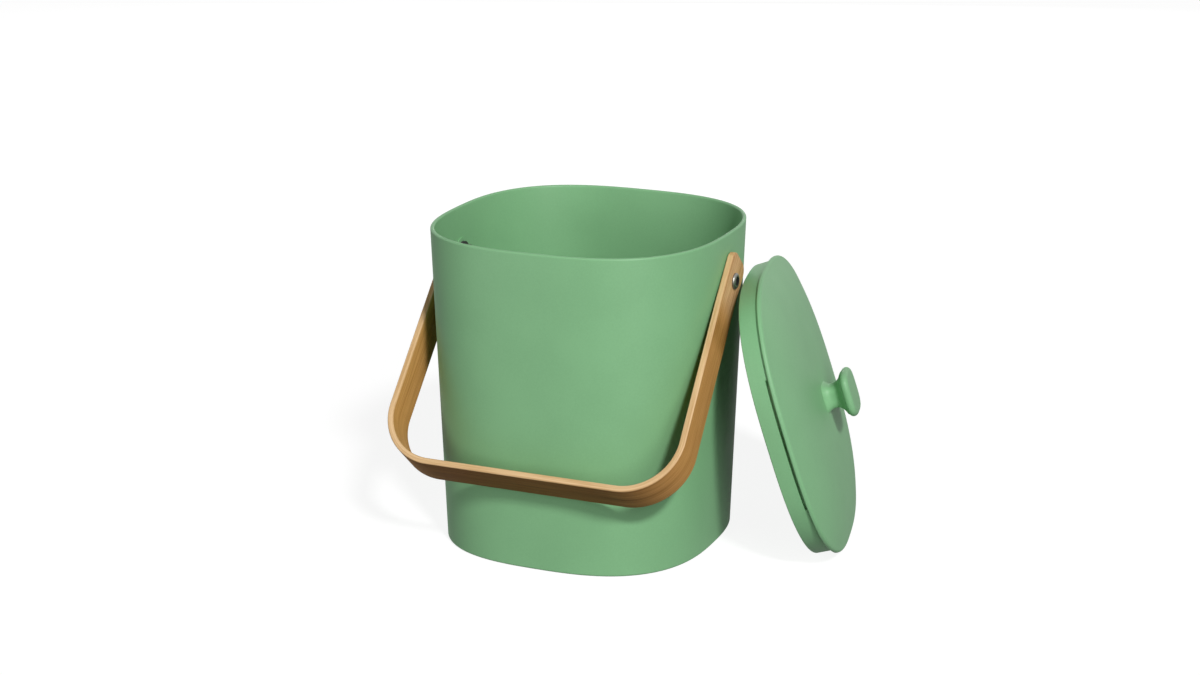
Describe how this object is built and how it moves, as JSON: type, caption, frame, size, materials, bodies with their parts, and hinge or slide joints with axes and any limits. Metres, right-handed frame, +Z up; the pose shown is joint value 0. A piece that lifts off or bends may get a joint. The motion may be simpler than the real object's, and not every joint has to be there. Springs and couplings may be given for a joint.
{
  "type": "compost caddy",
  "caption": "Rounded-square tapered compost bin with a bent bamboo bail handle and a loose domed plug lid with knob and filter, leaning on its side.",
  "frame": {"origin": "centre of the flat base, on the floor", "axes": "+Z up, -Y towards the front where the handle hangs, +X towards the side that the lid leans on"},
  "size_m": [0.29, 0.2569, 0.219],
  "materials": {
    "moulded_green": "satin moulded bamboo-fibre resin",
    "retainer_green": "satin moulded",
    "bamboo": "clear-oiled laminated bamboo",
    "steel": "plain steel",
    "nylon": "natural nylon",
    "seal_rubber": "matt black rubber",
    "carbon_felt": "carbon-filled felt"
  },
  "bodies": {
    "bin": {"bin_body": "moulded_green", "pivot_screw_left": "steel", "pivot_screw_right": "steel", "pivot_bush_left": "nylon", "pivot_bush_right": "nylon", "outer_washer_left": "steel", "outer_washer_right": "steel", "seal_washer_left": "seal_rubber", "seal_washer_right": "seal_rubber", "cap_nut_left": "steel", "cap_nut_right": "steel"},
    "handle": {"handle_strap": "bamboo"},
    "lid": {"lid_cover": "moulded_green", "lid_plug": "moulded_green", "lid_screws": "steel", "knob": "moulded_green", "knob_screw": "steel", "knob_washer": "steel"},
    "retainer": {"carbon_filter": "carbon_felt", "filter_retainer": "retainer_green"}
  },
  "joints": [
    {"name": "handle_swing", "type": "hinge", "parent": "bin", "child": "handle", "pos_m": [0, 0, 0.187], "axis": [-1, 0, 0], "range_deg": [0, 185]},
    {"name": "lid_lift_off", "type": "slide", "parent": "bin", "child": "lid", "axis": [0.9335, 0.1848, 0.3074], "range_m": [0, 0.15]},
    {"name": "filter_cap_pull", "type": "slide", "parent": "lid", "child": "retainer", "axis": [-0.9335, -0.1848, -0.3074], "range_m": [0, 0.01]}
  ]
}
